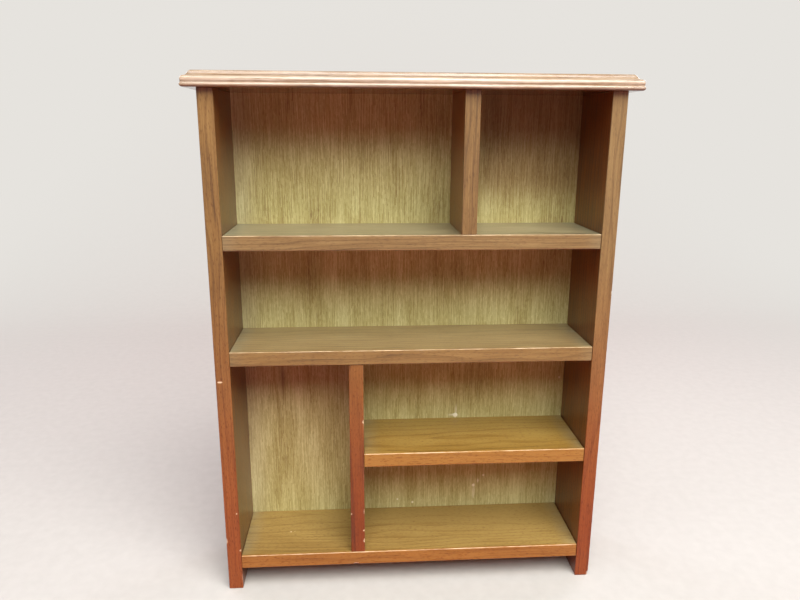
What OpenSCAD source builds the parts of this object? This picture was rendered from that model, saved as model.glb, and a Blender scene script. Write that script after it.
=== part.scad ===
// Small open bookcase: a dowelled case of two sides, four shelves and two dividers,
// under a moulded top, with a thin plywood back pinned into rebates.
// Millimetres. The floor is z = 0, the front faces -Y, and the origin is under the middle.

/* [Case] */
// Width across the outer faces of the two sides
case_w = 508; // [400:1:640]
// Height of the sides, from the floor to the underside of the top
side_h = 665; // [600:1:800]
// Depth of the sides, from front edge to rear edge
side_d = 114; // [95:1:160]
// Thickness of every solid board of the case
board_t = 19; // [17:0.5:24]
// Rounding of the boards' front arrises
arris_r = 1.2; // [0.5:0.1:3]

/* [Shelves] */
// Upper face of the bottom shelf above the floor
bottom_shelf_z = 51; // [40:1:70]
// Upper face of the half shelf above the floor
half_shelf_z = 199.5; // [150:0.5:250]
// Upper face of the middle shelf above the floor
middle_shelf_z = 345; // [300:1:390]
// Upper face of the upper shelf above the floor
upper_shelf_z = 493.5; // [440:0.5:540]

/* [Dividers] */
// Middle of the upper divider, to the right of the case's middle
upper_divider_x = 67; // [-150:1:150]
// How far the upper divider stands back from the shelf's front
upper_divider_setback = 0.5; // [0:0.1:10]
// Middle of the lower divider, to the right of the case's middle
lower_divider_x = -75; // [-150:1:100]
// How far the lower divider stands back from the shelves' front
lower_divider_setback = 1; // [0:0.1:10]

/* [Top] */
// Thickness of the top
top_t = 19; // [18:0.5:25]
// How far the top reaches past each side
top_end_overhang = 16.5; // [8:0.5:30]
// How far the top reaches past the front of the sides
top_front_overhang = 10; // [8:0.5:40]
// Height of the half-round bead along the moulding's lower edge
bead_h = 6; // [4:0.1:6]
// Height of the sunk quirk over the bead
quirk_h = 1.2; // [0.8:0.1:2]
// How far the quirk is sunk behind the band over it
quirk_d = 0.7; // [0.5:0.1:3]
// How far the band over the quirk stands back from the bead
band_setback = 0.8; // [0:0.1:2]
// Radius of the round shoulder of the band
shoulder_r = 4.6; // [2:0.1:5.5]
// Radius of each half of the ogee that rises to the upper face
ogee_r = 3; // [2:0.1:3.2]

/* [Back] */
// Thickness of the plywood back
panel_t = 4; // [3:0.5:6]
// Width of the rebate in each side that takes the edge of the back
rebate_w = 8; // [6:0.5:11]
// Gap between the back's edge and the rebate's wall
panel_gap = 0.3; // [0.1:0.1:0.8]

/* [Dowels] */
// Diameter of the dowels
dowel_d = 8; // [6:0.5:10]
// Depth of a dowel hole in the face of a board
hole_in_face = 11; // [8:0.5:13]
// Depth of a dowel hole in the end of a board
hole_in_end = 25; // [16:1:35]
// From the front or rear edge of a shelf to the middle of its dowel
dowel_inset = 25; // [15:1:35]
// Gap round a dowel in its hole
dowel_fit = 0.05; // [0.02:0.01:0.15]
// Room for glue at each end of a dowel
glue_room = 0.5; // [0.2:0.1:1]
// Chamfer on a dowel's ends
dowel_chamfer = 1; // [0.5:0.1:1.5]

/* [Pins] */
// Diameter of a panel pin's shank
pin_d = 1.4; // [1:0.1:2]
// Length of a panel pin
pin_l = 20; // [15:1:22]
// Diameter of a panel pin's head
pin_head_d = 2.6; // [2.4:0.1:4]
// Height of a panel pin's head
pin_head_h = 0.8; // [0.5:0.1:1.2]
// Gap round a pin in its hole
pin_fit = 0.05; // [0.02:0.01:0.1]
// Pins through the back into each full shelf
pins_per_shelf = 4; // [2:1:8]
// Pins through the back into the half shelf
pins_per_half_shelf = 3; // [2:1:5]
// Pins through the back into each side
pins_per_side = 6; // [3:1:10]

/* [Hidden] */
$fn = 64;
front_y = (top_front_overhang - side_d) / 2;
rear_y = front_y + side_d;
panel_y = rear_y - panel_t;
shelf_d = side_d - panel_t;
inner_x = case_w / 2 - board_t;
side_x = (case_w - board_t) / 2;
top_w = case_w + 2 * top_end_overhang;
top_d = side_d + top_front_overhang;
panel_half_w = inner_x + rebate_w - panel_gap;
panel_z = bottom_shelf_z - board_t;
lower_divider_right = lower_divider_x + board_t / 2;
lower_divider_top = middle_shelf_z - board_t;
dowel_ys = [front_y + dowel_inset, panel_y - dowel_inset];
overcut = 1;
stained_wood = "#8a5c34";
plywood = "#a5843f";
beech = "#d8b98a";
bright_steel = "#9a9a98";

// Positions of n things spread evenly between a and b
function spread(a, b, n) = [for (i = [0 : n - 1]) a + (i + 0.5) * (b - a) / n];

// Section of a board: x is its depth from the front edge, y its thickness, front arrises rounded
module board_section(depth) {
    translate([arris_r, 0]) square([depth - arris_r, board_t]);
    translate([0, arris_r]) square([depth, board_t - 2 * arris_r]);
    for (y = [arris_r, board_t - arris_r]) translate([arris_r, y]) circle(r = arris_r);
}

// A board lying flat between two x positions, with its upper face at z
module flat_board(x1, x2, z) {
    translate([x1, front_y, z - board_t])
        rotate([90, 0, 90]) linear_extrude(x2 - x1) board_section(shelf_d);
}

// A board standing between two heights, with its middle at x
module upright_board(x, z1, z2, setback, depth) {
    translate([x - board_t / 2, front_y + setback, z1])
        mirror([1, -1, 0]) linear_extrude(z2 - z1) board_section(depth - setback);
}

// Section of the top's moulded edge: x runs inwards from the outermost line to length
module moulding_section(length) {
    bead_r = bead_h / 2;
    band_z = bead_h + quirk_h;
    cove_z = top_t - 2 * ogee_r;
    shoulder = min(shoulder_r, cove_z - band_z);
    shoulder_x = band_setback + shoulder;
    riser_x = shoulder_x + ogee_r;
    // bead and the neck over it
    translate([bead_r, bead_r]) circle(r = bead_r);
    translate([bead_r, 0]) square([length - bead_r, bead_h]);
    translate([band_setback + quirk_d, bead_r]) square([length - band_setback - quirk_d, cove_z - bead_r]);
    // band with its round shoulder
    translate([band_setback, band_z]) square([length - band_setback, cove_z - shoulder - band_z]);
    intersection() {
        translate([shoulder_x, cove_z - shoulder]) circle(r = shoulder);
        translate([band_setback, cove_z - shoulder]) square([length - band_setback, shoulder]);
    }
    translate([shoulder_x, band_z]) square([length - shoulder_x, cove_z - band_z]);
    // ogee: a cove that turns into a round
    difference() {
        translate([shoulder_x, cove_z]) square(ogee_r);
        translate([shoulder_x, cove_z + ogee_r]) circle(r = ogee_r);
    }
    translate([riser_x, cove_z]) square([length - riser_x, ogee_r]);
    translate([riser_x + ogee_r, top_t - ogee_r]) circle(r = ogee_r);
    translate([riser_x + ogee_r, cove_z]) square([length - riser_x - ogee_r, 2 * ogee_r]);
}

// Dowel across a joint at z = 0: it goes up into a board's end and down into another's face
module dowel() {
    low = glue_room - hole_in_face;
    length = hole_in_face + hole_in_end - 2 * glue_room;
    tip_r = dowel_d / 2 - dowel_chamfer;
    translate([0, 0, low]) {
        cylinder(h = dowel_chamfer, r1 = tip_r, r2 = dowel_d / 2);
        translate([0, 0, dowel_chamfer]) cylinder(h = length - 2 * dowel_chamfer, d = dowel_d);
        translate([0, 0, length - dowel_chamfer])
            cylinder(h = dowel_chamfer, r1 = dowel_d / 2, r2 = tip_r);
    }
}

module dowel_hole() {
    translate([0, 0, -hole_in_face])
        cylinder(h = hole_in_face + hole_in_end, r = dowel_d / 2 + dowel_fit);
}

// Panel pin with its head's upper face at z = 0 and its point along +Z
module pin() {
    cylinder(h = pin_head_h, d = pin_head_d);
    cylinder(h = pin_l, d = pin_d);
}

module pin_hole() {
    translate([0, 0, -overcut]) cylinder(h = pin_head_h + overcut, r = pin_head_d / 2 + pin_fit);
    translate([0, 0, -overcut]) cylinder(h = pin_l + overcut, r = pin_d / 2 + pin_fit);
}

// Where the dowels are: at both ends of a flat board whose upper face is at z
module at_shelf_ends(x1, x2, z) {
    for (y = dowel_ys) {
        translate([x1, y, z - board_t / 2]) rotate([0, 90, 0]) children();
        translate([x2, y, z - board_t / 2]) rotate([0, -90, 0]) children();
    }
}

// At the lower and upper end of a standing board
module at_divider_ends(x, z1, z2) {
    for (y = dowel_ys) {
        translate([x, y, z1]) children();
        translate([x, y, z2]) rotate([180, 0, 0]) children();
    }
}

module at_upper_shelf() at_shelf_ends(-inner_x, inner_x, upper_shelf_z) children();
module at_middle_shelf() at_shelf_ends(-inner_x, inner_x, middle_shelf_z) children();
module at_bottom_shelf() at_shelf_ends(-inner_x, inner_x, bottom_shelf_z) children();
module at_half_shelf() at_shelf_ends(lower_divider_right, inner_x, half_shelf_z) children();
module at_upper_divider() at_divider_ends(upper_divider_x, upper_shelf_z, side_h) children();
module at_lower_divider() at_divider_ends(lower_divider_x, bottom_shelf_z, lower_divider_top) children();

module at_side_tops() {
    for (x = [-side_x, side_x], y = dowel_ys)
        translate([x, y, side_h]) rotate([180, 0, 0]) children();
}

// Where the pins are, through the back and into what is in front of it
module at_pins(xs, zs) {
    for (x = xs, z = zs) translate([x, rear_y, z]) rotate([90, 0, 0]) children();
}

module at_full_shelf_pins(z)
    at_pins(spread(-inner_x, inner_x, pins_per_shelf), [z - board_t / 2]) children();

module at_half_shelf_pins() {
    xs = spread(lower_divider_right, inner_x, pins_per_half_shelf);
    at_pins(xs, [half_shelf_z - board_t / 2]) children();
}

module at_side_pins() {
    edge_x = inner_x + rebate_w / 2;
    at_pins([-edge_x, edge_x], spread(panel_z, side_h, pins_per_side)) children();
}

module at_all_pins() {
    for (z = [bottom_shelf_z, middle_shelf_z, upper_shelf_z]) at_full_shelf_pins(z) children();
    at_half_shelf_pins() children();
    at_side_pins() children();
}

module top_board() {
    color(stained_wood) difference() {
        translate([0, 0, side_h]) intersection() {
            // moulded front edge, run along the width
            translate([-top_w / 2, rear_y - top_d, 0])
                rotate([90, 0, 90]) linear_extrude(top_w) moulding_section(top_d);
            // both moulded ends, run along the depth, so that the corners come out mitred
            translate([0, rear_y, 0]) rotate([90, 0, 0]) linear_extrude(top_d) {
                translate([-top_w / 2, 0]) moulding_section(top_w / 2);
                mirror([1, 0]) translate([-top_w / 2, 0]) moulding_section(top_w / 2);
            }
        }
        at_side_tops() dowel_hole();
        at_upper_divider() dowel_hole();
    }
}

// A side without its joints: the rebate for the back runs the whole length of its rear inner edge
module side_blank(hand) {
    difference() {
        upright_board(hand * side_x, 0, side_h, 0, side_d);
        translate([hand * (inner_x + rebate_w / 2) - rebate_w / 2, panel_y, -overcut])
            cube([rebate_w, panel_t + overcut, side_h + 2 * overcut]);
    }
}

module left_side() {
    color(stained_wood) difference() {
        side_blank(-1);
        at_side_tops() dowel_hole();
        at_upper_shelf() dowel_hole();
        at_middle_shelf() dowel_hole();
        at_bottom_shelf() dowel_hole();
        at_side_pins() pin_hole();
    }
}

module right_side() {
    color(stained_wood) difference() {
        side_blank(1);
        at_side_tops() dowel_hole();
        at_upper_shelf() dowel_hole();
        at_middle_shelf() dowel_hole();
        at_half_shelf() dowel_hole();
        at_bottom_shelf() dowel_hole();
        at_side_pins() pin_hole();
    }
}

module upper_shelf() {
    color(stained_wood) difference() {
        flat_board(-inner_x, inner_x, upper_shelf_z);
        at_upper_shelf() dowel_hole();
        at_upper_divider() dowel_hole();
        at_full_shelf_pins(upper_shelf_z) pin_hole();
    }
}

module middle_shelf() {
    color(stained_wood) difference() {
        flat_board(-inner_x, inner_x, middle_shelf_z);
        at_middle_shelf() dowel_hole();
        at_lower_divider() dowel_hole();
        at_full_shelf_pins(middle_shelf_z) pin_hole();
    }
}

module half_shelf() {
    color(stained_wood) difference() {
        flat_board(lower_divider_right, inner_x, half_shelf_z);
        at_half_shelf() dowel_hole();
        at_half_shelf_pins() pin_hole();
    }
}

module bottom_shelf() {
    color(stained_wood) difference() {
        flat_board(-inner_x, inner_x, bottom_shelf_z);
        at_bottom_shelf() dowel_hole();
        at_lower_divider() dowel_hole();
        at_full_shelf_pins(bottom_shelf_z) pin_hole();
    }
}

module upper_divider() {
    color(stained_wood) difference() {
        upright_board(upper_divider_x, upper_shelf_z, side_h, upper_divider_setback, shelf_d);
        at_upper_divider() dowel_hole();
    }
}

module lower_divider() {
    color(stained_wood) difference() {
        upright_board(lower_divider_x, bottom_shelf_z, lower_divider_top, lower_divider_setback, shelf_d);
        at_lower_divider() dowel_hole();
        at_half_shelf() dowel_hole();
    }
}

module back_panel() {
    color(plywood) difference() {
        translate([-panel_half_w, panel_y, panel_z]) cube([2 * panel_half_w, panel_t, side_h - panel_z]);
        at_all_pins() pin_hole();
    }
}

module top_dowels() color(beech) at_side_tops() dowel();
module upper_shelf_dowels() color(beech) at_upper_shelf() dowel();
module middle_shelf_dowels() color(beech) at_middle_shelf() dowel();
module half_shelf_dowels() color(beech) at_half_shelf() dowel();
module bottom_shelf_dowels() color(beech) at_bottom_shelf() dowel();
module upper_divider_dowels() color(beech) at_upper_divider() dowel();
module lower_divider_dowels() color(beech) at_lower_divider() dowel();
module back_panel_pins() color(bright_steel) at_all_pins() pin();

top_board();
left_side();
right_side();
upper_shelf();
middle_shelf();
half_shelf();
bottom_shelf();
upper_divider();
lower_divider();
back_panel();
top_dowels();
upper_shelf_dowels();
middle_shelf_dowels();
half_shelf_dowels();
bottom_shelf_dowels();
upper_divider_dowels();
lower_divider_dowels();
back_panel_pins();
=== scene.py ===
# %% [markdown]
# # A small stained bookcase
#
# This lesson dresses a small open bookcase: plain boards dowelled into a case, two off-centre dividers,
# a moulded top and a thin plywood back. The construction is fixed before we start: the imported model gives
# every board at its real size and place, and nothing here moves or resizes it. What is left to make is what
# the eye reads as shop-made furniture that has been used: arrises rubbed pale, small chips, grain that runs
# along each board, and an open-grained back.
#
# We load the frame first and keep its box.

# %% Load the fixed frame
import math
from collections import namedtuple

import bmesh
import bpy
import numpy as np
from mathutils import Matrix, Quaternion, Vector, noise


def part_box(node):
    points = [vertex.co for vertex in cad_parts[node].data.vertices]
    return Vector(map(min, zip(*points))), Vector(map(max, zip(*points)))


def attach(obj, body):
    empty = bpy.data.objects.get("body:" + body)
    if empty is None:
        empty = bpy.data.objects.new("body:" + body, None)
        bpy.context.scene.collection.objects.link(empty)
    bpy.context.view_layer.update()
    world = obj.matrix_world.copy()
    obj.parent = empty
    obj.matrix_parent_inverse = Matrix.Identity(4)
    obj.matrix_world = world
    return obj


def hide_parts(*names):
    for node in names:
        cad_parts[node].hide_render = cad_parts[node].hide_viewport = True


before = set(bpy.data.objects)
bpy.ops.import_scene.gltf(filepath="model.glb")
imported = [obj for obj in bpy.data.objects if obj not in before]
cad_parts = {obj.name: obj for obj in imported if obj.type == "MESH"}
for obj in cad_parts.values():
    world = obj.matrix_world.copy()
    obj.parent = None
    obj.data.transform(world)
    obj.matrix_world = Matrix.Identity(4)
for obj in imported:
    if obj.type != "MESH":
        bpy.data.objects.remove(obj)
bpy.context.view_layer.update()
MM = 0.001
scene = bpy.context.scene
print("nodes in the frame:", len(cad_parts))

# %% [markdown]
# ## Small helpers
#
# Paint and wood are easiest to note as sRGB hex values, but a renderer adds light in linear numbers, so one
# function turns the first into the second. A second function adds a shader node, sets it and links it. It
# hands back an output, so a material reads like a recipe, one ingredient to a line.

# %% Colours and nodes
scene.view_settings.view_transform = "Standard"


def srgb(hex_colour):
    """Linear RGBA of an sRGB hex colour."""
    channels = [int(hex_colour[place:place + 2], 16) / 255 for place in (1, 3, 5)]
    linear = [c / 12.92 if c <= 0.04045 else ((c + 0.055) / 1.055) ** 2.4 for c in channels]
    return (*linear, 1.0)


def add(tree, kind, settings=(), inputs=(), stops=(), out=0):
    """Adds a node and returns one of its outputs. An input is a value, or the output that feeds it."""
    node = tree.nodes.new("ShaderNode" + kind)
    for name, value in dict(settings).items():
        setattr(node, name, value)
    for socket, value in dict(inputs).items():
        if isinstance(value, bpy.types.NodeSocket):
            tree.links.new(value, node.inputs[socket])
        else:
            node.inputs[socket].default_value = value
    if stops:
        elements = node.color_ramp.elements
        elements[0].position, elements[0].color = stops[0]
        elements[1].position, elements[1].color = stops[-1]
        for place, colour in stops[1:-1]:
            elements.new(place).color = colour
    return node.outputs[out] if len(node.outputs) else None


def empty_material(name):
    """A new material and its node tree, with no nodes in it."""
    material = bpy.data.materials.new(name)
    material.use_nodes = True
    material.node_tree.nodes.clear()
    return material, material.node_tree


def cell_scale(along, across, deep):
    """Mapping scale for noise cells this long, wide and deep, in the unit of the mapped coordinates."""
    return (1 / along, 1 / across, 1 / deep)


# Settings that come back often
PLUS = {"operation": "ADD"}
TIMES = {"operation": "MULTIPLY"}
OVER = {"operation": "DIVIDE"}
TIMES_PLUS = {"operation": "MULTIPLY_ADD"}
LARGER = {"operation": "MAXIMUM"}
SOFT_ENDS = {"interpolation_type": "SMOOTHSTEP"}
BLEND = {"data_type": "RGBA"}
TINT = {"data_type": "RGBA", "blend_type": "MULTIPLY"}
# Sockets of a Mix node that mixes colours: factor, first colour, second colour, result
FACTOR, FIRST, SECOND, RESULT = 0, 6, 7, 2
print("mid brown in linear light:", [round(channel, 3) for channel in srgb("#8a5c34")])

# %% [markdown]
# ## Camera
#
# The case is seen from just below the height of its top, slightly from the left, with a short lens that is
# close by and looks down. That is why its sides lean inwards on the way down. We set where the camera is and
# what point on the case's front it looks at, and roll it by a fraction of a degree.

# %% Camera at the photograph's viewing angle
camera_at = Vector((-72.3, -859.0, 617.4)) * MM
camera_looks_at = Vector((-18.6, -52.0, 411.4)) * MM
camera_roll = math.radians(0.29)
camera_lens_mm = 29.82
camera_sensor_mm = 36
nearest_seen = 0.05

camera = bpy.data.objects.new("camera", bpy.data.cameras.new("camera"))
camera.data.sensor_fit = "HORIZONTAL"
camera.data.sensor_width = camera_sensor_mm
camera.data.lens = camera_lens_mm
camera.data.clip_start = nearest_seen
look = camera_looks_at - camera_at
camera.rotation_mode = "QUATERNION"
camera.rotation_quaternion = look.to_track_quat("-Z", "Y") @ Quaternion((0, 0, 1), camera_roll)
camera.location = camera_at
scene.collection.objects.link(camera)
scene.camera = camera
print("camera is", round(look.length, 2), "m from the case's front")

# %% [markdown]
# ## Studio
#
# The inside of a bookcase is drawn by its shadows: the upper part of each compartment is dark and the lower
# part is light, because the light comes from in front and above. One small lamp would cut a hard edge across
# the back, so two large oval ones stand about 50 degrees up and a little to the right: a key lamp, and a
# wider one further off, like a window. An overhead lamp only reaches the top's moulding and the front
# arrises, and two at the rear are there for whoever walks round the case.

# %% Lamps


def soft_lamp(name, at, looks_at, wide, high, watts, colour):
    """An oval area lamp that points at a place."""
    light = bpy.data.lights.new(name, "AREA")
    light.shape = "ELLIPSE"
    light.size = wide
    light.size_y = high
    light.energy = watts
    light.color = srgb(colour)[:3]
    lamp = bpy.data.objects.new(name, light)
    lamp.location = at
    lamp.rotation_mode = "QUATERNION"
    lamp.rotation_quaternion = (Vector(looks_at) - Vector(at)).to_track_quat("-Z", "Y")
    scene.collection.objects.link(lamp)


case_middle, case_rear, moulding_front = (0.0, 0.0, 0.32), (0.0, 0.03, 0.35), (0.0, -0.05, 0.6)
soft_lamp("key_lamp", (0.37, -1.36, 1.79), case_middle, wide=2.4, high=1.4, watts=31, colour="#f6ffff")
soft_lamp("window_lamp", (0.74, -2.54, 3.48), case_middle, wide=4.8, high=3.0, watts=192, colour="#fff5e9")
soft_lamp("overhead_lamp", (0.0, -0.50, 2.1), moulding_front, wide=1.6, high=1.0, watts=19, colour="#ffffff")
for name, x in (("left_rear_lamp", -1.5), ("right_rear_lamp", 1.5)):
    soft_lamp(name, (x, 1.1, 1.5), case_rear, wide=1.0, high=1.0, watts=14, colour="#eef6ff")

# %% [markdown]
# ### World and floor
#
# The world shows one pale colour to the camera, and to gloss and glass, but gives the case only a weak warm
# fill. The floor is a sweep that turns up into a backdrop. It keeps the case's shadow near by and fades into
# the same pale colour further off. The light that it throws back is red, because the shadows under the
# shelves are ruddier than the lamps alone would make them.

# %% World
pale_background = srgb("#e6e3de")


def looked_at(tree):
    """1 for rays that come from the camera, straight or by gloss or glass, and 0 for bounced light."""
    straight = add(tree, "LightPath", out="Is Camera Ray")
    by_gloss = add(tree, "LightPath", out="Is Glossy Ray")
    by_glass = add(tree, "LightPath", out="Is Transmission Ray")
    mirrored = add(tree, "Math", LARGER, {0: by_gloss, 1: by_glass})
    return add(tree, "Math", LARGER, {0: straight, 1: mirrored})


world = bpy.data.worlds.new("studio")
scene.world = world
world.use_nodes = True
tree = world.node_tree
tree.nodes.clear()
fill = add(tree, "Background", inputs={"Color": srgb("#ff9a8c"), "Strength": 0.005})
pale = add(tree, "Background", inputs={"Color": pale_background, "Strength": 1.0})
both = add(tree, "MixShader", inputs={0: looked_at(tree), 1: fill, 2: pale})
add(tree, "OutputWorld", inputs={"Surface": both})
print("world:", world.name)

# %% Floor that turns up into a backdrop
sweep_half_width, sweep_front, sweep_turn, sweep_radius, sweep_top = 8.0, -3.0, 1.2, 0.8, 4.0
sweep_line = [(sweep_front, 0.0)]
for angle in range(0, 91, 6):
    turn = math.radians(angle)
    sweep_line.append((sweep_turn + sweep_radius * math.sin(turn), sweep_radius * (1 - math.cos(turn))))
sweep_line.append((sweep_turn + sweep_radius, sweep_top))
sweep_points = [(x, y, z) for y, z in sweep_line for x in (-sweep_half_width, sweep_half_width)]
sweep_faces = [(2 * i, 2 * i + 1, 2 * i + 3, 2 * i + 2) for i in range(len(sweep_line) - 1)]
sweep_mesh = bpy.data.meshes.new("floor_sweep")
sweep_mesh.from_pydata(sweep_points, [], sweep_faces)
sweep_mesh.shade_smooth()
floor = bpy.data.objects.new("floor_sweep", sweep_mesh)
scene.collection.objects.link(floor)
print("floor sweep:", len(sweep_faces), "faces")

# %% Paint on the floor
fade_start, fade_end = 0.9, 2.4
roller_marks_per_m = 60.0

painted, tree = empty_material("pale_painted_board")
place = add(tree, "TexCoord", out="Object")
rolled = add(tree, "TexNoise", inputs={"Vector": place, "Scale": roller_marks_per_m, "Detail": 3.0})
tint = add(tree, "ValToRGB", inputs={"Fac": rolled},
           stops=[(0.3, srgb("#bfbdba")), (0.7, srgb("#c4c2bf"))])
shows = looked_at(tree)
seen = add(tree, "Mix", BLEND, {FACTOR: shows, FIRST: srgb("#a84446"), SECOND: tint}, out=RESULT)
skin = add(tree, "BsdfPrincipled", inputs={"Base Color": seen, "Roughness": 0.8})
from_case = add(tree, "VectorMath", {"operation": "LENGTH"}, {0: place}, out="Value")
far_off = add(tree, "MapRange", SOFT_ENDS,
              {"Value": from_case, "From Min": fade_start, "From Max": fade_end})
fades = add(tree, "Math", TIMES, {0: far_off, 1: shows})
haze = add(tree, "Emission", inputs={"Color": pale_background, "Strength": 1.0})
faded = add(tree, "MixShader", inputs={0: fades, 1: skin, 2: haze})
add(tree, "OutputMaterial", inputs={"Surface": faded})
floor.data.materials.append(painted)
print("floor fades out between", fade_start, "and", fade_end, "m from the case")

# %% [markdown]
# ## Wear
#
# Nothing dates a board like its arrises. They were eased with sandpaper once, and books, dusters and moves
# have rubbed them since, so their radius wanders and the stain is gone where it was rubbed most. Chips are
# noted as a maker would note them: where, how long along the grain, how wide, how deep and how pale.
#
# We could paint this in a texture, but a chip is a shape and takes its own shadow. So every board gets a
# mesh with fine rows of points near its chips, and each point also carries four layers for the material:
# its place in the wood, how the stain took there with the painted light and shade laid on it, how worn it
# is, which on an arris is partly a painted highlight, and how bleached, which is partly a painted sheen.

# %% Chips and dents seen on the case
Chip = namedtuple("Chip", "at long wide deep pale")

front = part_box("left_side")[0].y / MM
outer_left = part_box("left_side")[0].x / MM
inner_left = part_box("left_side")[1].x / MM
outer_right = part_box("right_side")[1].x / MM
divider_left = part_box("lower_divider")[0].x / MM
divider_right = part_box("lower_divider")[1].x / MM
divider_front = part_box("lower_divider")[0].y / MM
bottom_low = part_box("bottom_shelf")[0].z / MM
bottom_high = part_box("bottom_shelf")[1].z / MM
upper_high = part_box("upper_shelf")[1].z / MM
back_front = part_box("back_panel")[0].y / MM

chips = {
    "left_side": [
        Chip((-248.6, front, 305.6), 1.3, 3.4, 0.5, 1.0),
        Chip((-237.4, front, 116.4), 1.6, 1.3, 0.5, 0.9),
        Chip((outer_left, front, 74.7), 4.5, 1.5, 0.7, 0.8),
        Chip((inner_left, front, 59.9), 1.8, 1.6, 0.6, 0.9),
        Chip((inner_left, front, 17.0), 8.0, 1.2, 0.5, 0.4),
    ],
    "right_side": [
        Chip((outer_right, front, 1.0), 7.0, 3.4, 1.4, 0.5),
        Chip((outer_right, front, 418.0), 3.0, 1.2, 0.4, 0.5),
    ],
    "lower_divider": [
        Chip((divider_right, divider_front, 245.9), 3.2, 1.6, 0.7, 0.9),
        Chip((divider_right, divider_front, 113.0), 5.0, 1.2, 0.4, 0.6),
        Chip((divider_right, divider_front, 83.9), 1.5, 1.6, 0.6, 1.0),
        Chip((divider_right, divider_front, 68.0), 3.6, 1.5, 0.6, 1.0),
        Chip((divider_left, divider_front, 110.0), 1.8, 1.4, 0.5, 0.8),
    ],
    "bottom_shelf": [
        Chip((-77.9, front, bottom_low), 4.6, 1.8, 0.8, 1.0),
        Chip((-172.3, 1.9, bottom_high), 1.4, 1.1, 0.3, 0.9),
        Chip((-166.8, 2.6, bottom_high), 0.9, 0.8, 0.3, 0.6),
    ],
    "upper_shelf": [
        Chip((-231.6, 11.9, upper_high), 1.4, 1.2, 0.4, 1.0),
        Chip((-221.0, 28.0, upper_high), 2.2, 0.7, 0.3, 0.5),
    ],
    # a depth below zero is a splinter that stands out of the sheet
    "back_panel": [
        Chip((72.9, back_front, 203.9), 3.2, 3.4, -0.8, 2.2),
        Chip((73.6, back_front, 212.0), 8.0, 1.6, -0.1, 0.4),
        Chip((104.6, back_front, 74.0), 11.0, 2.4, -0.1, 0.35),
        Chip((-13.8, back_front, 65.2), 1.7, 1.5, -0.4, 0.9),
        Chip((9.5, back_front, 59.2), 2.0, 1.6, -0.4, 0.9),
        Chip((104.2, back_front, 85.4), 2.4, 2.0, -0.4, 1.8),
        Chip((111.0, back_front, 93.0), 3.4, 1.5, -0.2, 0.6),
        Chip((119.3, back_front, 102.1), 2.0, 1.6, -0.4, 1.0),
        Chip((228.4, back_front, 261.1), 1.8, 1.2, -0.3, 0.8),
    ],
}
print("chips noted:", sum(len(spots) for spots in chips.values()))

# %% Noise and rows of points


def wander(seed, *place):
    """Smooth noise between -1 and 1 that changes over about one unit of place."""
    seed_x, seed_y, off_lattice = 17.3, 5.9, 0.37
    x, y, z = (list(place) + [0.0, 0.0])[:3]
    return noise.noise(Vector((x + seed_x * seed, y - seed_y * seed, z + off_lattice)))


def smooth_step(value):
    """0 to 1 with soft ends."""
    value = np.clip(value, 0.0, 1.0)
    return value * value * (3 - 2 * value)


def rows(start, stop, step, fine_places=(), reach=0.0, fine_step=0.5):
    """Places from start to stop, closer together within reach of each fine place."""
    closest = fine_step * 0.6
    count = max(1, round((stop - start) / step))
    found = list(np.linspace(start, stop, count + 1))
    for middle in fine_places:
        fine = np.arange(middle - reach, middle + reach + fine_step / 2, fine_step)
        found += [value for value in fine if start < value < stop]
    found = sorted(found)
    kept = [found[0]]
    for value in found[1:-1]:
        if value - kept[-1] > closest and stop - value > closest:
            kept.append(value)
    return kept + [found[-1]]


def chip_amount(chip, along, across, seed):
    """How far into a chip each point lies: 0 outside, 1 at its middle, with a ragged edge."""
    tooth_along, tooth_across, tooth_deep = 1.7, 1.9, 0.3
    outer, slope = 1.15, 0.7
    distance = np.sqrt((along / chip.long) ** 2 + (across / chip.wide) ** 2)
    places = zip((tooth_along * along).ravel(), (tooth_across * across).ravel())
    ragged = np.array([wander(seed, *place) for place in places])
    return smooth_step((outer - distance - tooth_deep * ragged.reshape(along.shape)) / slope)


print("rows near a chip:", [round(value, 2) for value in rows(0, 12, 4, [6], 1)])

# %% Meshes with layers


def stacked_rings(count, across):
    """Faces of a solid that is a stack of rings, each of so many points, closed at both ends."""
    faces = []
    for i in range(count - 1):
        for j in range(across):
            k = (j + 1) % across
            faces.append((i * across + j, i * across + k, (i + 1) * across + k, (i + 1) * across + j))
    faces.append(tuple(range(across)))
    faces.append(tuple(range((count - 1) * across, count * across)))
    return faces


def make_piece(name, points_mm, faces, layers, sharp_angle=35):
    """Mesh object from points in mm, with its layers stored on the points for the materials."""
    mesh = bpy.data.meshes.new(name)
    mesh.from_pydata([tuple(point) for point in np.asarray(points_mm) * MM], [], faces)
    shell = bmesh.new()
    shell.from_mesh(mesh)
    bmesh.ops.recalc_face_normals(shell, faces=shell.faces)
    shell.to_mesh(mesh)
    shell.free()
    for layer, values in layers.items():
        values = np.asarray(values, dtype=np.float32)
        if values.ndim == 2:
            mesh.attributes.new(layer, "FLOAT_VECTOR", "POINT").data.foreach_set("vector", values.ravel())
        else:
            mesh.attributes.new(layer, "FLOAT", "POINT").data.foreach_set("value", values)
    mesh.shade_smooth()
    mesh.set_sharp_from_angle(angle=math.radians(sharp_angle))
    piece = bpy.data.objects.new(name, mesh)
    scene.collection.objects.link(piece)
    return piece


print("faces of two rings of four points:", len(stacked_rings(2, 4)))
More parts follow.
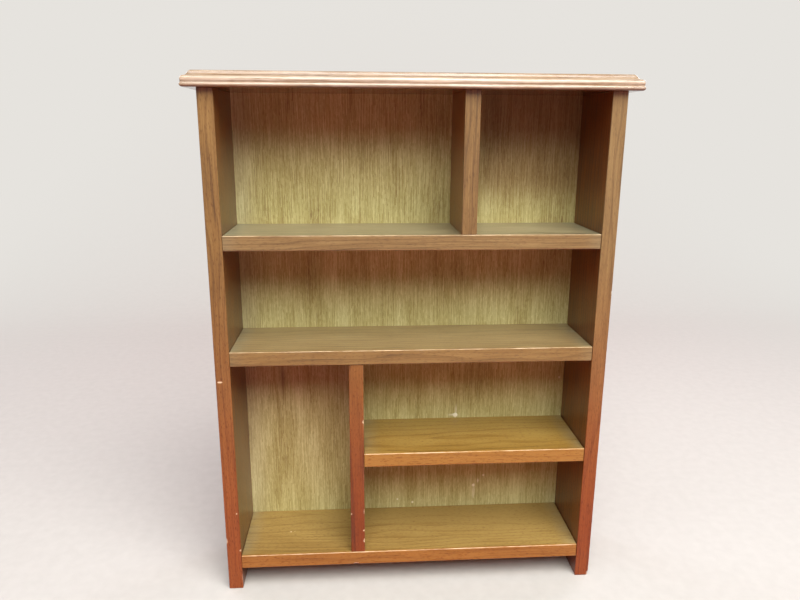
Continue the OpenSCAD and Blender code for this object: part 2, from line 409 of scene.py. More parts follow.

# %% [markdown]
# ## Boards
#
# Eight boards are one kind of thing: a flat or standing board whose front arrises are rounded and whose rear
# edge is square, apart from the two sides, which have a rebate for the back. A box with a bevel would be
# quicker, but every arris would then be alike. We draw the board's section as a ring, sweep it along the
# board, and let the two arris radii wander from station to station. At each end the ring is drawn in a
# little, the easing that shows as a fine dark line where two boards meet.
#
# What differs from board to board is listed once: where its pith lay, how worn its lower or left arris and
# its upper or right one are, a pale line that is partly a painted highlight, how red its front low down is
# from painted red light and how red its faces are in painted shade, how much lighter or darker its faces,
# its front and its front low down are, where the sides' darker faces and the upper divider's darker front
# are painted shade and the lighter fronts low down painted light, how bleached its upper face is, partly as
# a painted sheen, how golden the board is, how much lighter that face gets from left to right, how much a
# painted sheen greys its front, and how it meets its neighbours at both ends.

# %% What a board needs to know
# how far a board stops short at each end, and how far its ends are drawn in, in millimetres
no_gap, right_open, top_open = (0.0, 0.0), (0.3, 0.8), (0.0, 0.7)
fine_ease, foot_ease, divider_ease = (0.4, 0.4), (0.9, 0.4), (0.5, 0.6)

Board = namedtuple("Board", "node upright seed pith edge_wear ruddy lift bleach golden drift dull "
                            "end_gap end_ease rebate",
                   defaults=(0.0, 0.0, 0.0, 0.0, no_gap, fine_ease, None))

back_low, back_high = (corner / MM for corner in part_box("back_panel"))
# the rebates are as deep as the back is thick
rebate_deep = back_high.y - back_low.y
rebate_wide = 8.0

# lift is for the faces, the front and the front low down: the sides' darker faces and the upper divider's
# darker front are painted shade, the lighter fronts low down painted light; ruddy is painted red light low
# on the front and the red of painted shade on the faces; dull is a painted sheen that greys the front
boards = [
    Board("left_side", True, seed=1, pith=(95, 40), edge_wear=(0.25, 0.3), ruddy=(0.9, 0.3),
          lift=(-0.22, -0.05, 0.34), dull=0.11, end_ease=foot_ease, rebate="high"),
    Board("right_side", True, seed=2, pith=(-80, 62), edge_wear=(0.3, 0.3), ruddy=(1.0, 0.55),
          lift=(-0.16, 0.05, 0.14), dull=0.26, end_ease=foot_ease, rebate="low"),
    Board("upper_shelf", False, seed=3, pith=(70, 55), edge_wear=(0.4, 0.7), ruddy=(0.1, 0.0),
          lift=(0.08, 0.06, 0.0), bleach=0.75, dull=0.24, end_gap=right_open),
    Board("middle_shelf", False, seed=4, pith=(-60, 48), edge_wear=(0.4, 0.8), ruddy=(0.2, 0.0),
          lift=(0.17, 0.09, 0.0), bleach=0.4, golden=0.35, dull=0.18, end_gap=right_open),
    Board("half_shelf", False, seed=5, pith=(14, 26), edge_wear=(0.35, 0.85), ruddy=(0.5, 0.0),
          lift=(0.22, 0.50, 0.0), bleach=0.08, golden=1.0, dull=0.02, end_gap=right_open),
    Board("bottom_shelf", False, seed=6, pith=(-50, 60), edge_wear=(0.4, 1.0), ruddy=(0.5, 0.0),
          lift=(0.36, 0.40, 0.0), bleach=0.14, golden=0.75, drift=0.36, end_gap=right_open),
    Board("upper_divider", True, seed=7, pith=(85, 35), edge_wear=(0.3, 0.3), ruddy=(0.2, 0.6),
          lift=(0.06, -0.1, 0.0), dull=0.2),
    Board("lower_divider", True, seed=8, pith=(-95, 30), edge_wear=(0.45, 0.6), ruddy=(1.0, 0.35),
          lift=(-0.1, 0.0, 0.0), golden=0.1, end_gap=top_open, end_ease=divider_ease),
]
print("boards listed:", [board.node for board in boards])

# %% Rows of points round a board
near_face = 1.0
clear_of_arris = 3.2
face_step, front_step, station_step = 8.0, 3.2, 3.0
past_chip, past_chip_end = 0.5, 0.6

Size = namedtuple("Size", "length depth thick")
Rows = namedtuple("Rows", "low front high rear")
Knock = namedtuple("Knock", "along back through chip")


def board_size(board, low, high):
    """A board's length along the grain, its depth from front to rear and its thickness."""
    span = high - low
    return Size(span.z, span.y, span.x) if board.upright else Size(span.x, span.y, span.z)


def chips_on(board, low):
    """A board's chips, placed along the board, back from its front and through its thickness."""
    knocks = []
    for chip in chips.get(board.node, []):
        at = Vector(chip.at) - low
        knocks.append(Knock(at.z, at.y, at.x, chip) if board.upright else Knock(at.x, at.y, at.z, chip))
    return knocks


def rows_round(board, size, knocks):
    """Rows on the lower face, the front and the upper face, and the corners of a rebate at the rear."""
    depth, thick = size.depth, size.thick
    low_end, high_end, rear = depth, depth, []
    if board.rebate == "high":
        high_end = depth - rebate_deep
        rear = [(depth - rebate_deep, thick - rebate_wide), (depth, thick - rebate_wide)]
    elif board.rebate == "low":
        low_end = depth - rebate_deep
        rear = [(depth, rebate_wide), (depth - rebate_deep, rebate_wide)]
    reach = max([knock.chip.wide for knock in knocks] + [0.0]) + past_chip
    on_front = [knock.through for knock in knocks if knock.back < near_face]
    behind = [knock for knock in knocks if knock.back > near_face]
    on_low = [knock.back for knock in behind if knock.through < near_face]
    on_high = [knock.back for knock in behind if knock.through > thick - near_face]
    return Rows(rows(clear_of_arris, low_end, face_step, on_low, reach),
                rows(clear_of_arris, thick - clear_of_arris, front_step, on_front, reach),
                rows(clear_of_arris, high_end, face_step, on_high, reach), rear)


def stations_along(board, size, knocks):
    """Places along a board at which its section is drawn, apart from its two ends."""
    reach = max([knock.chip.long for knock in knocks] + [0.0]) + past_chip_end
    start = board.end_gap[0] + board.end_ease[0]
    stop = size.length - board.end_gap[1] - board.end_ease[1]
    return rows(start, stop, station_step, [knock.along for knock in knocks], reach)


plain_size = Size(length=500, depth=100, thick=19)
print("rows on the front of a plain 19 mm board:", len(rows_round(boards[-1], plain_size, []).front))

# %% Arrises that wander
arris_points = 7
arris_turn = np.linspace(0, math.pi / 2, arris_points)
# wear is most in the middle of an arris and stops where it meets the faces
wear_narrowing = 1.5
arris_weight = np.sin(2 * arris_turn) ** wear_narrowing
arris_weight[0] = arris_weight[-1] = 0.0
low_arris_r, high_arris_r, least_r, most_r = 1.05, 1.15, 0.6, 2.2
radius_waves, wear_waves = (60, 11), (38, 7)
mean_wear = 0.6


def wandering(mean, seed, quick_seed, along, waves):
    """A value that wanders about its mean along a board, in long waves and in short ones."""
    slow, quick = 0.35, 0.25
    return mean + slow * wander(seed, along / waves[0]) + quick * wander(quick_seed, along / waves[1])


def board_section(thick, low_r, high_r, grid):
    """Ring of (back, through) points: lower face, lower arris, front, upper arris, upper face, rear."""
    ring = [(back, 0.0) for back in reversed(grid.low)]
    ring += [(low_r * (1 - math.sin(turn)), low_r * (1 - math.cos(turn))) for turn in arris_turn]
    ring += [(0.0, through) for through in grid.front]
    ring += [(high_r * (1 - math.cos(turn)), thick - high_r * (1 - math.sin(turn))) for turn in arris_turn]
    ring += [(back, thick) for back in grid.high]
    return ring + grid.rear


def swept_section(board, size, stations, grid):
    """The section at every station, with how far each of its points is worn."""
    seed = board.seed
    first_arris = len(grid.low)
    second_arris = first_arris + arris_points + len(grid.front)
    rings, worn = [], []
    for along in stations:
        high_r = wandering(high_arris_r, seed, seed + 3, along, radius_waves)
        low_r = wandering(low_arris_r, seed + 5, seed + 8, along, radius_waves)
        low_r, high_r = (min(max(radius, least_r), most_r) for radius in (low_r, high_r))
        ring = board_section(size.thick, low_r, high_r, grid)
        # a worn arris is pale partly from wear and partly as a painted highlight
        low_worn = board.edge_wear[0] * wandering(mean_wear, seed + 11, seed + 12, along, wear_waves)
        high_worn = board.edge_wear[1] * wandering(mean_wear, seed + 13, seed + 14, along, wear_waves)
        ring_worn = np.zeros(len(ring))
        ring_worn[first_arris:first_arris + arris_points] = np.clip(low_worn, 0, 1) * arris_weight
        ring_worn[second_arris:second_arris + arris_points] = np.clip(high_worn, 0, 1) * arris_weight
        rings.append(ring)
        worn.append(ring_worn)
    return np.array(rings), np.array(worn)


print("an arris radius:", round(wandering(high_arris_r, 1, 4, 15, radius_waves), 2), "mm")

# %% Chips and eased ends
# a point in the core isn't pushed, and the least length only keeps it from a division by zero
core_margin, chip_margin, least_length = 5.0, 2.0, 1e-6
chip_seed = 20


def knock_chips(board, size, stations, rings, worn, knocks):
    """Pushes the points in each chip towards the board's core and makes them pale."""
    along = np.repeat(np.array(stations)[:, None], rings.shape[1], axis=1)
    back, through = rings[..., 0].copy(), rings[..., 1].copy()
    core_back = np.clip(back, core_margin, size.depth - core_margin) - back
    core_through = np.clip(through, core_margin, size.thick - core_margin) - through
    core_length = np.maximum(np.hypot(core_back, core_through), least_length)
    for number, knock in enumerate(knocks):
        chip = knock.chip
        near = np.abs(along - knock.along) < chip.long + chip_margin
        across = np.hypot(back[near] - knock.back, through[near] - knock.through)
        amount = chip_amount(chip, along[near] - knock.along, across, board.seed + chip_seed + number)
        rings[near, 0] += chip.deep * amount * (core_back / core_length)[near]
        rings[near, 1] += chip.deep * amount * (core_through / core_length)[near]
        worn[near] = np.maximum(worn[near], chip.pale * np.sqrt(amount))


def drawn_in(ring, size, ease):
    """A copy of a ring whose front and faces are drawn in, for an eased end."""
    drawn = ring.copy()
    drawn[:, 0] = np.clip(drawn[:, 0], ease, size.depth)
    drawn[:, 1] = np.clip(drawn[:, 1], ease, size.thick - ease)
    return drawn


def with_ends(board, size, stations, rings, worn):
    """Stations, rings and wear with an eased ring added at both ends."""
    ends = [drawn_in(rings[place], size, ease) for place, ease in zip((0, -1), board.end_ease)]
    places = np.array([board.end_gap[0]] + stations + [size.length - board.end_gap[1]])
    return places, np.concatenate([ends[:1], rings, ends[1:]]), np.concatenate([worn[:1], worn, worn[-1:]])


print("chips on boards:", sum(len(chips.get(board.node, [])) for board in boards))

# %% How the stain took, and the painted light, shade and sheen
# painted red light and painted light on the lower fronts fade out up to this height
painted_red_top, painted_red_fade = 520, 460
# from here up, painted sheen greys the fronts of the uprights
sheen_low, sheen_fade = 180, 400
# near the ends the shelf fronts get more painted sheen, and the shelf tops grey in patches
end_reach, end_sheen, end_grey = 26, 0.8, 0.5
patch_seed, patch_mean, patch_swing, patch_long, patch_wide = 40, 0.55, 0.45, 19, 13
bleach_start, bleach_fade = 1.0, 3.0
# painted light lifts the rear of the shelf tops, where the shelf above shades them
shelf_rear_light, even_depth = 0.5, 0.4


def stain_and_painted_light_layers(board, size, height, along, back, facing, upper):
    """The stain layer, which is lift, golden and ruddy, and the bleached layer of a board, with the painted
    light, shade and sheen in them.
    """
    painted_light_low = smooth_step((painted_red_top - height) / painted_red_fade)
    high_up = smooth_step((height - sheen_low) / sheen_fade)
    near_end = smooth_step(1 - np.minimum(along, size.length - along) / end_reach)
    # painted sheen: the uprights' fronts grey high up, the shelf fronts more near their ends
    front_sheen = board.dull * (high_up if board.upright else 1 + end_sheen * near_end)
    places = zip((along / patch_long).ravel(), (back / patch_wide).ravel())
    cloudy = np.array([wander(board.seed + patch_seed, *place) for place in places])
    patchy = patch_mean + patch_swing * cloudy.reshape(along.shape)
    # the shelf tops grey in patches near their ends
    grey_near_ends = (0.0 if board.upright else end_grey) * near_end * patchy
    behind_arris = smooth_step((back - bleach_start) / bleach_fade)
    # bleached holds real bleaching of the upper faces with painted sheen, and the painted sheen of the
    # fronts
    bleached = (board.bleach + grey_near_ends) * upper * behind_arris + front_sheen * facing
    face_lift, front_lift, low_lift = board.lift
    front_ruddy, face_ruddy = board.ruddy
    # painted light: the rear of each shelf top is lightened against the shade of the shelf above
    painted_rear_light = (0.0 if board.upright else shelf_rear_light) * (back / size.depth - even_depth)
    rear_light_and_drift = upper * (painted_rear_light + board.drift * (along / size.length - 0.5))
    # painted light and shade: the lighter fronts low down, and the darker faces of the sides
    lift = (front_lift + low_lift * painted_light_low) * facing + face_lift * (1 - facing) + rear_light_and_drift
    # painted red light on the fronts low down, and the red of painted shade on the faces
    ruddy = front_ruddy * painted_light_low * facing + face_ruddy * (1 - facing)
    return np.stack([lift, np.full(facing.shape, board.golden), ruddy], axis=-1), bleached


# the red low down is painted red light
print("red of the stain shows up to", painted_red_top, "mm")

# %% One worn board
# how far apart the boards lie in the grain pattern, so that no two share a figure
boards_apart = 900


def worn_board(board):
    """A board that stands for a node, with wandering arrises, eased ends and its chips."""
    low, high = (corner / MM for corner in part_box(board.node))
    size = board_size(board, low, high)
    knocks = chips_on(board, low)
    grid = rows_round(board, size, knocks)
    stations = stations_along(board, size, knocks)
    rings, worn = swept_section(board, size, stations, grid)
    knock_chips(board, size, stations, rings, worn, knocks)
    stations, rings, worn = with_ends(board, size, stations, rings, worn)

    along = np.repeat(stations[:, None], rings.shape[1], axis=1)
    back, through = rings[..., 0], rings[..., 1]
    if board.upright:
        points = np.stack([low.x + through, low.y + back, low.z + along], axis=-1)
    else:
        points = np.stack([low.x + along, low.y + back, low.z + through], axis=-1)
    grain = np.stack([along + boards_apart * board.seed, back - size.depth / 2 + board.pith[0],
                      through + board.pith[1]], axis=-1)

    # which points are on the front with its arrises, and which on the upper or right face
    face_start = len(grid.low) + len(grid.front) + 2 * arris_points
    facing = np.zeros(rings.shape[:2])
    facing[:, len(grid.low):face_start] = 1.0
    upper = np.zeros(rings.shape[:2])
    upper[:, face_start:face_start + len(grid.high)] = 1.0
    stain, bleached = stain_and_painted_light_layers(board, size, points[..., 2], along, back, facing, upper)
    layers = {"grain": grain.reshape(-1, 3), "stain": stain.reshape(-1, 3),
              "worn": worn.ravel(), "bleached": bleached.ravel()}
    return make_piece("worn_" + board.node, points.reshape(-1, 3), stacked_rings(*rings.shape[:2]), layers)


worn_boards = {board.node: worn_board(board) for board in boards}
for node, piece in worn_boards.items():
    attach(piece, "root")
    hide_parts(node)
print("boards:", {node: len(piece.data.vertices) for node, piece in worn_boards.items()})

# %% [markdown]
# ## Moulded top
#
# The top is the one piece that took a moulding plane: a half-round bead, a sunk quirk, a band with a round
# shoulder, and an ogee that rises to the upper face. Old varnish half fills the quirk and softens the ogee.
# The moulding runs along the front and both ends and meets in mitres. A profile could be swept along a
# curve, but its corners would need care. We take the section as a list of arcs, from the underside up, and
# draw each point of it as a plan of the whole top, drawn in at the front and the ends but not at the rear.
# Stacked plans give the mitres for nothing.

# %% Section of the moulding
top_low, top_high = (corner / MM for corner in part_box("top_board"))
bead_r, quirk_high, neck_in, band_in, shoulder_r, ogee_r = 3.0, 1.2, 1.0, 0.8, 4.3, 2.9
quirk_lip, quirk_lean, lip_gap = 0.3, 0.05, 0.02
band_ease_r = 0.5
ogee_bend = 0.25
# the degrees at which the band's eased edge starts and its shoulder stops, and the points on each curve
ease_start, shoulder_stop = 215, 92
bead_points, ease_points, shoulder_points, ogee_points = 14, 4, 11, 16
top_thick = top_high.z - top_low.z
band_z = 2 * bead_r + quirk_high
cove_z = top_thick - 2 * ogee_r


def arc(centre_in, centre_z, radius, start, stop, count):
    """Points (inset, height) on an arc; 180 degrees points outwards, 90 degrees up."""
    turns = np.radians(np.linspace(start, stop, count))
    return [(centre_in + radius * math.cos(turn), centre_z + radius * math.sin(turn)) for turn in turns]


neck_turn = math.degrees(math.acos((neck_in - bead_r) / bead_r))
moulding = arc(bead_r, bead_r, bead_r, 270, neck_turn, bead_points)
# the filled quirk rises straight from the neck and leans out a little under the band
moulding += [(neck_in, band_z - quirk_lip), (neck_in - quirk_lean, band_z - lip_gap)]
moulding += arc(band_in + band_ease_r, band_z + band_ease_r, band_ease_r, ease_start, 180, ease_points)
moulding += arc(band_in + shoulder_r, cove_z - shoulder_r, shoulder_r, 180, shoulder_stop, shoulder_points)
for share in np.linspace(0, 1, ogee_points + 1)[1:]:
    bend = ogee_bend * math.sin(2 * math.pi * share)
    moulding.append((band_in + shoulder_r + 2 * ogee_r * share + bend, cove_z + 2 * ogee_r * share - bend))
print("points in the section:", len(moulding))

# %% Plan of the top at one height
corner_r = 1.4
corner_points, front_points, end_points = 5, 160, 44
corner_turn = np.radians(np.linspace(0, 90, corner_points))
round_corner = [(corner_r * (1 - math.cos(turn)), corner_r * (1 - math.sin(turn))) for turn in corner_turn]
front_share = np.linspace(0, 1, front_points)[1:-1]
end_share = np.linspace(0, 1, end_points)[1:]


def top_plan(inset):
    """Outline of the top at one inset, from the rear left corner round the front to the rear right."""
    left, right = top_low.x + inset, top_high.x - inset
    near, far = top_low.y + inset, top_high.y
    near_end = near + corner_r
    plan = [(left, far + (near_end - far) * share) for share in np.concatenate([[0], end_share[:-1]])]
    plan += [(left + across, near + back) for across, back in round_corner]
    start, stop = left + corner_r, right - corner_r
    plan += [(start + (stop - start) * share, near) for share in front_share]
    plan += [(right - back, near + across) for across, back in round_corner]
    plan += [(right, near_end + (far - near_end) * share) for share in end_share]
    return plan


around = len(top_plan(0.0))
print("points in a plan:", around)

# %% The top, as stacked plans
under_in, over_in, underside = 0.6, 0.6, 0.1
top_seed = 9
top_pith = (75, 52)
rub_swing, rub_long, rub_high = 0.08, 60, 3
fine_rub, fine_long, fine_high = 0.05, 9, 2
# the underside is darkened and reddened as painted shade
under_painted_shade, upper_stain = (-0.4, 0.0, 0.6), (-0.2, 0.0, 0.0)
# how pale the moulding is at each height, partly rubbed varnish and partly a painted highlight where its
# faces look up to the lamps: least under the bead and in the ogee's hollow
rubbed_and_lit_at = {0.0: 0.0, 1.0: 0.24, 2.6: 0.42, 5.2: 0.40, 6.0: 0.32, 7.2: 0.38, 8.0: 0.48, 10.5: 0.44,
             12.6: 0.36, 13.6: 0.32, 15.4: 0.28, 17.0: 0.33, 19.0: 0.36}

levels = [(moulding[0][0] + under_in, 0.0)] + moulding + [(moulding[-1][0] + over_in, top_thick)]
points, worn, stain, grain = [], [], [], []
for inset, z in levels:
    # how pale this height is: rubbed varnish and painted highlight
    rubbed = float(np.interp(z, list(rubbed_and_lit_at), list(rubbed_and_lit_at.values())))
    for x, y in top_plan(inset):
        rub = rubbed + rub_swing * wander(top_seed, x / rub_long, z / rub_high)
        rub += fine_rub * wander(top_seed + 1, x / fine_long, y / fine_long, z / fine_high)
        points.append((x, y, top_low.z + z))
        worn.append(min(max(rub, 0.0), 1.0) if 0 < z < top_thick else 0.0)
        stain.append(under_painted_shade if z < underside else upper_stain)
        grain.append((x + boards_apart * top_seed, y + top_pith[0], z + top_pith[1]))
layers = {"grain": grain, "stain": stain, "worn": worn, "bleached": np.zeros(len(points))}
moulded_top = make_piece("moulded_top", points, stacked_rings(len(levels), around), layers, sharp_angle=40)
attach(moulded_top, "root")
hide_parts("top_board")
print("moulded top:", len(moulded_top.data.vertices), "points")

# %% [markdown]
# ## Plywood back
#
# The back is one sheet of thin lauan plywood. Its face is flat, so a plain sheet would nearly do, but a pin
# has burst through it over the half shelf and left a pale splintered hole, with smaller knocks elsewhere,
# and on the rear the pin heads are punched just under the surface. Each face gets its own rows of points,
# fine where something happens, and the four edges close the sheet.

# %% Where the pins are
pin_reach, at_surface = 3.0, 0.1
pin_head_in, pin_pit_r = 0.85, 1.7
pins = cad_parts["back_panel_pins"]
pin_points = [vertex.co / MM for vertex in pins.data.vertices]
head_points = [point for point in pin_points if point.y > back_high.y - at_surface]
pin_groups = []
for point in head_points:
    off = [math.hypot(group[0].x - point.x, group[0].z - point.z) for group in pin_groups]
    near = [group for group, distance in zip(pin_groups, off) if distance < pin_reach]
    if near:
        near[0].append(point)
    else:
        pin_groups.append([point])
pin_places = []
for group in pin_groups:
    xs, zs = [point.x for point in group], [point.z for point in group]
    pin_places.append(((min(xs) + max(xs)) / 2, (min(zs) + max(zs)) / 2))
print("pins through the back:", len(pin_places))

# %% Front of the sheet, with its burst hole and knocks
back_chips = chips["back_panel"]
back_step = 12.0
splinter_reach, splinter_step = 3.4, 0.6
back_chip_seed, past_knock = 60, 1.5
# the sheet is a little paler along its left side
edge_pale, edge_end, edge_fade = 0.13, 45, 35
# a run of old stain down the face of the tall compartment
run_x, run_z, run_long, run_wide, run_dark = -182.0, 270.0, 44.0, 5.0, 0.75


def sheet_face(y, fine_xs, fine_zs, reach, fine_step):
    """Grid of points over the whole sheet at one depth, as arrays of x, y and z."""
    xs = rows(back_low.x, back_high.x, back_step, fine_xs, reach, fine_step)
    zs = rows(back_low.z, back_high.z, back_step, fine_zs, reach, fine_step)
    z_of, x_of = np.meshgrid(zs, xs, indexing="ij")
    return x_of, np.full(x_of.shape, y), z_of


front_x, front_y, front_z = sheet_face(back_low.y, [run_x] + [chip.at[0] for chip in back_chips],
                                       [chip.at[2] for chip in back_chips], splinter_reach, splinter_step)
front_worn = edge_pale * smooth_step((back_low.x + edge_end - front_x) / edge_fade)
for number, chip in enumerate(back_chips):
    off_x, off_z = front_x - chip.at[0], front_z - chip.at[2]
    near = np.hypot(off_x, off_z) < max(chip.long, chip.wide) + past_knock
    amount = chip_amount(chip, off_z[near], off_x[near], back_chip_seed + number)
    front_y[near] += chip.deep * amount
    front_worn[near] = np.maximum(front_worn[near], chip.pale * np.sqrt(amount))
print("front of the sheet:", front_x.shape, "points")

# %% Rear of the sheet, with its punched pins
pit_reach, pit_step = 2.2, 0.44
pit_rim, pit_pale = 0.3, 0.6
rear_x, rear_y, rear_z = sheet_face(back_high.y, sorted({round(x, 1) for x, _ in pin_places}),
                                    sorted({round(z, 1) for _, z in pin_places}), pit_reach, pit_step)
rear_worn = np.zeros(rear_x.shape)
for x, z in pin_places:
    distance = np.hypot(rear_x - x, rear_z - z)
    rear_y[distance < pin_pit_r] = back_high.y - pin_head_in
    rear_worn[distance < pin_pit_r + pit_rim] = pit_pale
print("rear of the sheet:", rear_x.shape, "points")

# %% The sheet, closed along its edges
# the sheet is darker in the upper right compartment
patch_dark, patch_x, patch_z, patch_fade = 0.6, 60, 500, 60

points, faces, borders = [], [], []
for x_of, y_of, z_of in ((front_x, front_y, front_z), (rear_x, rear_y, rear_z)):
    high, wide = x_of.shape
    index = len(points) + np.arange(high * wide).reshape(high, wide)
    points += list(np.stack([x_of, y_of, z_of], axis=-1).reshape(-1, 3))
    for i in range(high - 1):
        for j in range(wide - 1):
            faces.append((index[i, j], index[i, j + 1], index[i + 1, j + 1], index[i + 1, j]))
    borders.append((index[0], index[-1], index[:, 0], index[:, -1]))
for front_border, rear_border in zip(*borders):
    faces.append(tuple(front_border) + tuple(reversed(rear_border)))
faces = [tuple(int(corner) for corner in face) for face in faces]

points = np.array(points)
x_of, y_of, z_of = points.T
grain = np.stack([z_of, x_of, y_of - back_low.y], axis=-1)
bare = (y_of > back_low.y + rebate_deep / 2).astype(float)
from_run = np.hypot((x_of - run_x) / run_wide, (z_of - run_z) / run_long)
patch = patch_dark * smooth_step((x_of - patch_x) / patch_fade) * smooth_step((z_of - patch_z) / patch_fade)
run = (run_dark * smooth_step(1 - from_run) + patch) * (1 - bare)
worn = np.concatenate([front_worn.ravel(), rear_worn.ravel()])
layers = {"grain": grain, "worn": worn, "bleached": bare, "ruddy": run}
lauan_back = make_piece("lauan_back", points, faces, layers, sharp_angle=30)
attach(lauan_back, "root")
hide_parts("back_panel")
print("plywood back:", len(lauan_back.data.vertices), "points")

# %% [markdown]
# ## Stained and varnished boards
#
# The boards look like meranti, the reddish open-pored timber of much shop-made furniture, wiped with a brown
# stain and given one thin coat of satin varnish by brush. To the eye that is a mid brown with faint growth
# rings, short dark pores that follow the grain, a cloudy unevenness where the stain took, a soft gloss, and
# bare pale wood where the arrises are rubbed through, which also stands for their painted highlight. Upper
# faces are greyed to a dull olive, partly bleached by light and partly a painted sheen; the red of the lower
# fronts is painted red light from below, the sides' darker faces are painted shade, and the high fronts are
# greyed by painted sheen.
#
# The grain layer holds each point's place in its board in millimetres, along, across and through. One solid
# pattern in those three numbers gives face grain, edge grain and end grain that agree round every arris,
# which a flat texture can't do. Rings are drawn round a pith line that each board lies at its own distance
# from. Real pores are 0.2 mm wide and wouldn't show, so they are drawn about 0.9 mm wide.

# %% Stained meranti
ring_mm = 7.0
sway_mm = 26.0
board_cells_mm = [(240, 48, 48), (60, 1.1, 1.1), (75, 22, 22), (6, 0.9, 0.9)]


def stained_meranti(finish, coat_weight, coat_roughness, bare):
    """Meranti boards: brown wiped stain under brushed varnish of one finish."""
    material, tree = empty_material("stained_meranti_" + finish)
    grain, stain = (add(tree, "Attribute", {"attribute_name": layer}, out="Vector")
                    for layer in ("grain", "stain"))
    worn, bleached = (add(tree, "Attribute", {"attribute_name": layer}, out="Fac")
                      for layer in ("worn", "bleached"))
    lift, golden, ruddy = (add(tree, "SeparateXYZ", inputs={0: stain}, out=part) for part in "XYZ")

    # noise in cells of so many millimetres: sway of the trunk, fibres, clouds of stain, and pores
    patterns = []
    for cell_mm, detail in zip(board_cells_mm, (2.0, 3.0, 3.0, 1.0)):
        place = add(tree, "Mapping", inputs={"Vector": grain, "Scale": cell_scale(*cell_mm)})
        patterns.append(add(tree, "TexNoise", inputs={"Vector": place, "Scale": 1.0, "Detail": detail}))
    sway, fibre, cloud, pore_noise = patterns
    pore = add(tree, "MapRange", SOFT_ENDS, {"Value": pore_noise, "From Min": 0.55, "From Max": 0.72})

    # growth rings, bent by the sway and darkest at the end of each year
    swing = add(tree, "Math", TIMES, {0: sway, 1: sway_mm})
    cross = add(tree, "VectorMath", TIMES, {0: grain, 1: (0.0, 1.0, 1.0)})
    from_pith = add(tree, "VectorMath", {"operation": "LENGTH"}, {0: cross}, out="Value")
    swayed = add(tree, "Math", PLUS, {0: from_pith, 1: swing})
    year = add(tree, "Math", OVER, {0: swayed, 1: ring_mm})
    ring = add(tree, "Math", {"operation": "FRACT"}, {0: year})
    late_wood = add(tree, "ValToRGB", inputs={"Fac": ring},
                    stops=[(0.0, (0.2, 0.2, 0.2, 1)), (0.6, (0.3, 0.3, 0.3, 1)),
                           (0.9, (1, 1, 1, 1)), (1.0, (0.2, 0.2, 0.2, 1))])

    # one tone from 0, dark, to 1, light
    tone = -0.03
    for pattern, share in ((fibre, 0.8), (cloud, 0.5), (late_wood, -0.33)):
        tone = add(tree, "Math", TIMES_PLUS, {0: pattern, 1: share, 2: tone})
    # lift holds the stain's lightness and the painted light and shade
    tone = add(tree, "Math", PLUS, {0: tone, 1: lift})
    brown = add(tree, "ValToRGB", inputs={"Fac": tone},
                stops=[(0.0, srgb("#4f3119")), (0.5, srgb("#846030")), (1.0, srgb("#9e7f46"))])
    gold = add(tree, "ValToRGB", inputs={"Fac": tone},
               stops=[(0.0, srgb("#4f3610")), (0.5, srgb("#8d6926")), (1.0, srgb("#a98a40"))])
    grey = add(tree, "ValToRGB", inputs={"Fac": tone},
               stops=[(0.0, srgb("#625e4a")), (0.5, srgb("#868369")), (1.0, srgb("#a49f85"))])
    wiped = add(tree, "Mix", BLEND, {FACTOR: golden, FIRST: brown, SECOND: gold}, out=RESULT)
    pored = add(tree, "Mix", TINT, {FACTOR: pore, FIRST: wiped, SECOND: srgb("#d4c0a6")}, out=RESULT)
    # painted red light from below, and the red of painted shade
    painted_red_light = add(tree, "Mix", TINT, {FACTOR: ruddy, FIRST: pored, SECOND: srgb("#ffa886")}, out=RESULT)
    # greyed toward a dull olive by bleaching and by painted sheen
    greyed_by_bleach_and_sheen = add(tree, "Mix", BLEND, {FACTOR: bleached, FIRST: painted_red_light, SECOND: grey}, out=RESULT)

    # rubbed through to bare wood, broken up by the fibres
    rub_edge = add(tree, "Math", TIMES_PLUS, {0: fibre, 1: -0.5, 2: 0.25})
    rub_sum = add(tree, "Math", PLUS, {0: worn, 1: rub_edge})
    rub = add(tree, "MapRange", SOFT_ENDS, {"Value": rub_sum, "From Min": 0.18, "From Max": 0.75})
    colour = add(tree, "Mix", BLEND, {FACTOR: rub, FIRST: greyed_by_bleach_and_sheen, SECOND: srgb(bare)}, out=RESULT)

    # varnish lies smoother over the dark, hard late wood, and pores are sunk in it
    gloss = add(tree, "MapRange", inputs={"Value": tone, "To Min": 0.34, "To Max": 0.5})
    relief = add(tree, "Math", TIMES_PLUS, {0: pore, 1: -1.0, 2: fibre})
    bump = add(tree, "Bump", inputs={"Height": relief, "Strength": 0.3, "Distance": 0.2 * MM})
    skin = add(tree, "BsdfPrincipled",
               inputs={"Base Color": colour, "Roughness": gloss, "IOR": 1.5, "Specular IOR Level": 0.2,
                       "Coat Weight": coat_weight, "Coat Roughness": coat_roughness, "Coat IOR": 1.5,
                       "Normal": bump})
    add(tree, "OutputMaterial", inputs={"Surface": skin})
    return material


# the bare colour is rubbed wood and the painted highlight of worn arrises
satin = stained_meranti("satin_varnish", coat_weight=0.5, coat_roughness=0.25, bare="#e2c8a4")
for piece in worn_boards.values():
    piece.data.materials.append(satin)
# on the polished top, the near white bare colour is partly rubbed wood and partly painted highlight
polished = stained_meranti("polished_varnish", coat_weight=1.0, coat_roughness=0.16, bare="#e4d3bf")
moulded_top.data.materials.append(polished)
print("boards finished in", satin.name, "and", polished.name)

# %% [markdown]
# ## Lauan plywood
#
# Lauan is peeled from the log like paper from a roll, so its open pores show as fine dark flecks up to a few
# centimetres long, all upright here. It took a thin wash of the stain and no varnish: a dull yellow-olive
# brown, darker in upright bands, and paler and pinker on the bare rear face. Noise would blur the flecks, so
# they are strokes of random tone in narrow lines, drawn 0.8 mm wide where real ones are 0.3 mm, to show.

# %% Lauan plywood face and rear
fleck_wide, fleck_long = 0.75, 30.0
speck_wide, speck_long = 0.8, 4.5
lengths_of_shift = 9.0
back_cells_mm = [(120, 0.9, 40), (110, 30, 40), (330, 36, 40)]


